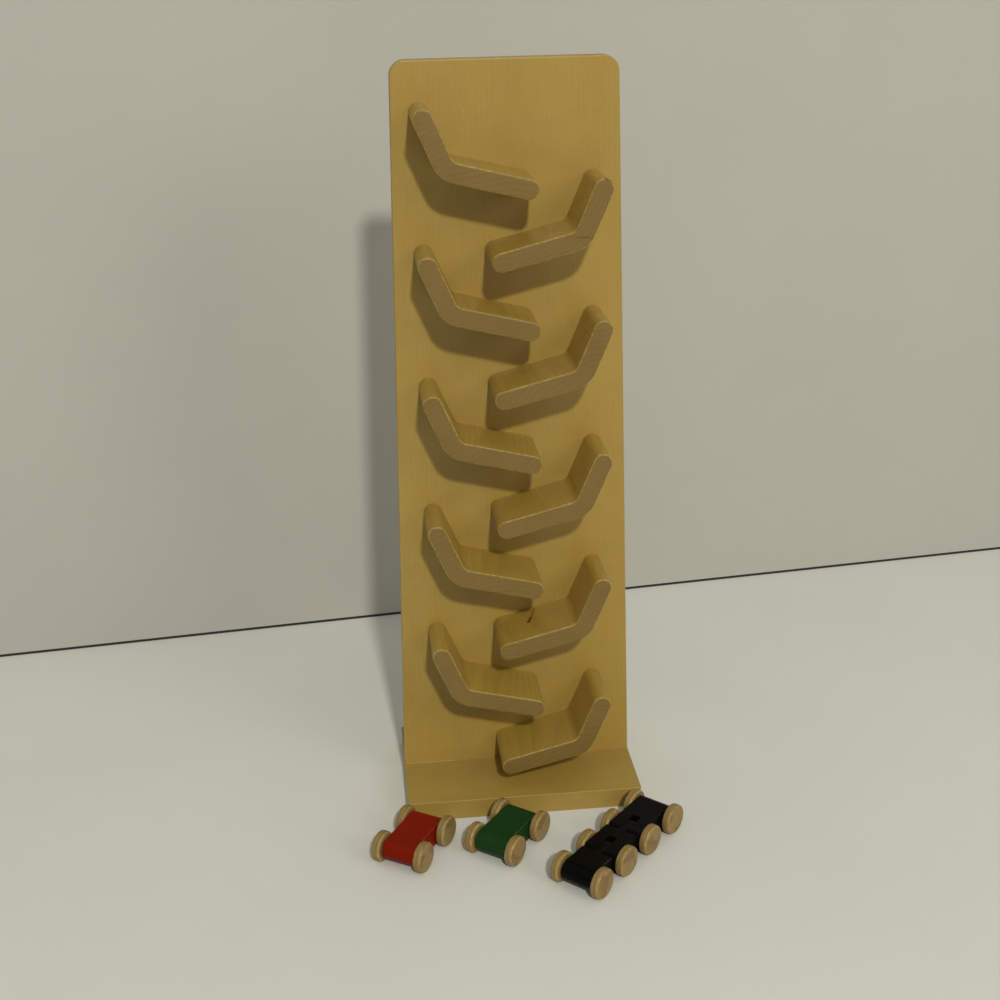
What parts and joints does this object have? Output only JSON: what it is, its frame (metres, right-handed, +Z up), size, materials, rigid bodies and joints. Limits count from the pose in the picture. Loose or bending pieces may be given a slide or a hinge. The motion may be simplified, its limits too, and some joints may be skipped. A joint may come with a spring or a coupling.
{
  "type": "click clack track toy",
  "caption": "Wooden click clack track: a leaning board on a flat base with staggered bent ramps, and small wheeled cars, one of them jointed, that tumble from ramp to ramp.",
  "frame": {"origin": "middle of the base's flat underside", "axes": "+Z up, -Y towards the side with the ramps, +X to the right as seen from there"},
  "size_m": [0.2074, 0.2049, 0.4866],
  "materials": {
    "board_wood": "satin clear lacquer over pale yellow wood",
    "ramp_wood": "satin clear lacquer, greyer than the board",
    "wheel_wood": "sanded wood with a thin lacquer",
    "dowel_wood": "plain turned dowel",
    "red_paint": "satin red paint on wood",
    "green_paint": "satin green paint on wood",
    "black_paint": "satin black paint on wood",
    "screw_steel": "plain steel"
  },
  "bodies": {
    "tower": {"base": "board_wood", "board": "board_wood", "ramp_left_1": "ramp_wood", "ramp_right_1": "ramp_wood", "ramp_left_2": "ramp_wood", "ramp_right_2": "ramp_wood", "ramp_left_3": "ramp_wood", "ramp_right_3": "ramp_wood", "ramp_left_4": "ramp_wood", "ramp_right_4": "ramp_wood", "ramp_left_5": "ramp_wood", "ramp_right_5": "ramp_wood", "ramp_screws": "screw_steel", "base_screws": "screw_steel"},
    "red_car": {"red_body": "red_paint"},
    "red_front_wheels": {"red_front_axle": "dowel_wood", "red_front_left_wheel": "wheel_wood", "red_front_right_wheel": "wheel_wood"},
    "red_rear_wheels": {"red_rear_axle": "dowel_wood", "red_rear_left_wheel": "wheel_wood", "red_rear_right_wheel": "wheel_wood"},
    "green_car": {"green_body": "green_paint"},
    "green_front_wheels": {"green_front_axle": "dowel_wood", "green_front_left_wheel": "wheel_wood", "green_front_right_wheel": "wheel_wood"},
    "green_rear_wheels": {"green_rear_axle": "dowel_wood", "green_rear_left_wheel": "wheel_wood", "green_rear_right_wheel": "wheel_wood"},
    "black_front": {"black_front_body": "black_paint"},
    "black_middle": {"black_middle_body": "black_paint"},
    "black_rear": {"black_rear_body": "black_paint"},
    "black_wheels_1": {"black_axle_1": "dowel_wood", "black_left_wheel_1": "wheel_wood", "black_right_wheel_1": "wheel_wood"},
    "black_wheels_2": {"black_axle_2": "dowel_wood", "black_left_wheel_2": "wheel_wood", "black_right_wheel_2": "wheel_wood"},
    "black_wheels_3": {"black_axle_3": "dowel_wood", "black_left_wheel_3": "wheel_wood", "black_right_wheel_3": "wheel_wood"},
    "black_wheels_4": {"black_axle_4": "dowel_wood", "black_left_wheel_4": "wheel_wood", "black_right_wheel_4": "wheel_wood"}
  },
  "joints": [
    {"name": "red_roll", "type": "slide", "parent": "tower", "child": "red_car", "axis": [-0.5255, -0.8508, 0], "range_m": [0, 0.06]},
    {"name": "red_front_spin", "type": "hinge", "parent": "red_car", "child": "red_front_wheels", "pos_m": [-0.0855, -0.09671, 0.01], "axis": [0.8508, -0.5255, 0], "continuous": true},
    {"name": "red_rear_spin", "type": "hinge", "parent": "red_car", "child": "red_rear_wheels", "pos_m": [-0.0689, -0.06982, 0.01], "axis": [0.8508, -0.5255, 0], "continuous": true},
    {"name": "green_roll", "type": "slide", "parent": "tower", "child": "green_car", "axis": [-0.6101, -0.7923, 0], "range_m": [0, 0.06]},
    {"name": "green_front_spin", "type": "hinge", "parent": "green_car", "child": "green_front_wheels", "pos_m": [-0.02578, -0.09613, 0.01], "axis": [0.7923, -0.6101, 0], "continuous": true},
    {"name": "green_rear_spin", "type": "hinge", "parent": "green_car", "child": "green_rear_wheels", "pos_m": [-0.0065, -0.07109, 0.01], "axis": [0.7923, -0.6101, 0], "continuous": true},
    {"name": "black_roll", "type": "slide", "parent": "tower", "child": "black_middle", "axis": [-0.6833, -0.7302, 0], "range_m": [0, 0.06]},
    {"name": "black_front_hinge", "type": "hinge", "parent": "black_middle", "child": "black_front", "pos_m": [0.04373, -0.11463, 0.01], "axis": [0.7302, -0.6833, 0], "range_deg": [-80, 80]},
    {"name": "black_rear_hinge", "type": "hinge", "parent": "black_middle", "child": "black_rear", "pos_m": [0.06306, -0.09397, 0.01], "axis": [0.7302, -0.6833, 0], "range_deg": [-80, 80]},
    {"name": "black_spin_1", "type": "hinge", "parent": "black_front", "child": "black_wheels_1", "pos_m": [0.02439, -0.1353, 0.01], "axis": [0.7302, -0.6833, 0], "continuous": true},
    {"name": "black_spin_2", "type": "hinge", "parent": "black_middle", "child": "black_wheels_2", "pos_m": [0.04373, -0.11463, 0.01], "axis": [0.7302, -0.6833, 0], "continuous": true},
    {"name": "black_spin_3", "type": "hinge", "parent": "black_middle", "child": "black_wheels_3", "pos_m": [0.06306, -0.09397, 0.01], "axis": [0.7302, -0.6833, 0], "continuous": true},
    {"name": "black_spin_4", "type": "hinge", "parent": "black_rear", "child": "black_wheels_4", "pos_m": [0.0824, -0.07331, 0.01], "axis": [0.7302, -0.6833, 0], "continuous": true}
  ]
}
